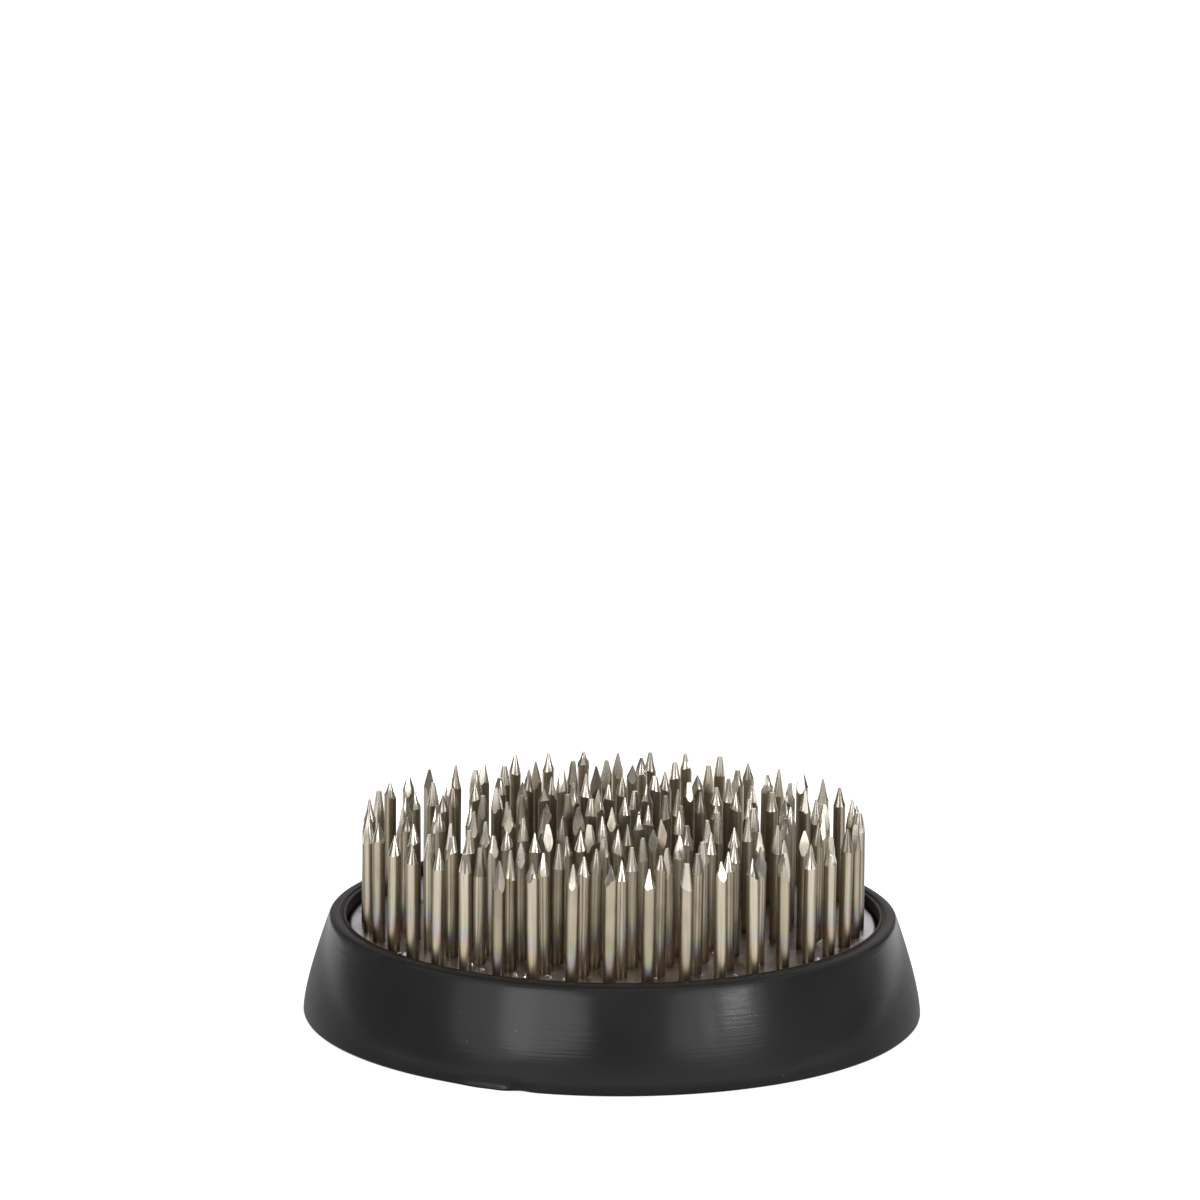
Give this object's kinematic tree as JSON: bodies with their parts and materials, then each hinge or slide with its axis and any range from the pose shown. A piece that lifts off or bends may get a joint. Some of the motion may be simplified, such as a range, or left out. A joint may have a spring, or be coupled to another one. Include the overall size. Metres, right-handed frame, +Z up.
{
  "type": "pin cushion",
  "caption": "Round flower-arranging pin holder: a heavy cast plate full of upright pointed needles, in a rubber ring.",
  "frame": {"origin": "middle of the rubber ring's foot, on the surface that the object stands on", "axes": "+Z up along the needles; +X runs from the middle needle through the first needle of every circle"},
  "size_m": [0.075, 0.075, 0.0254],
  "materials": {
    "rubber": "matt, moulded",
    "cast_alloy": "as cast, dull and rippled",
    "needle_brass": "pale drawn wire, points ground bright"
  },
  "bodies": {
    "holder": {"rubber_ring": "rubber"},
    "pin_plate": {"cast_plate": "cast_alloy", "needle_centre": "needle_brass", "needle_ring_1": "needle_brass", "needle_ring_2": "needle_brass", "needle_ring_3": "needle_brass", "needle_ring_4": "needle_brass", "needle_ring_5": "needle_brass", "needle_ring_6": "needle_brass", "needle_ring_7": "needle_brass"}
  },
  "joints": [
    {"name": "plate_lift", "type": "slide", "parent": "holder", "child": "pin_plate", "axis": [0, 0, 1], "range_m": [0, 0.03]}
  ]
}
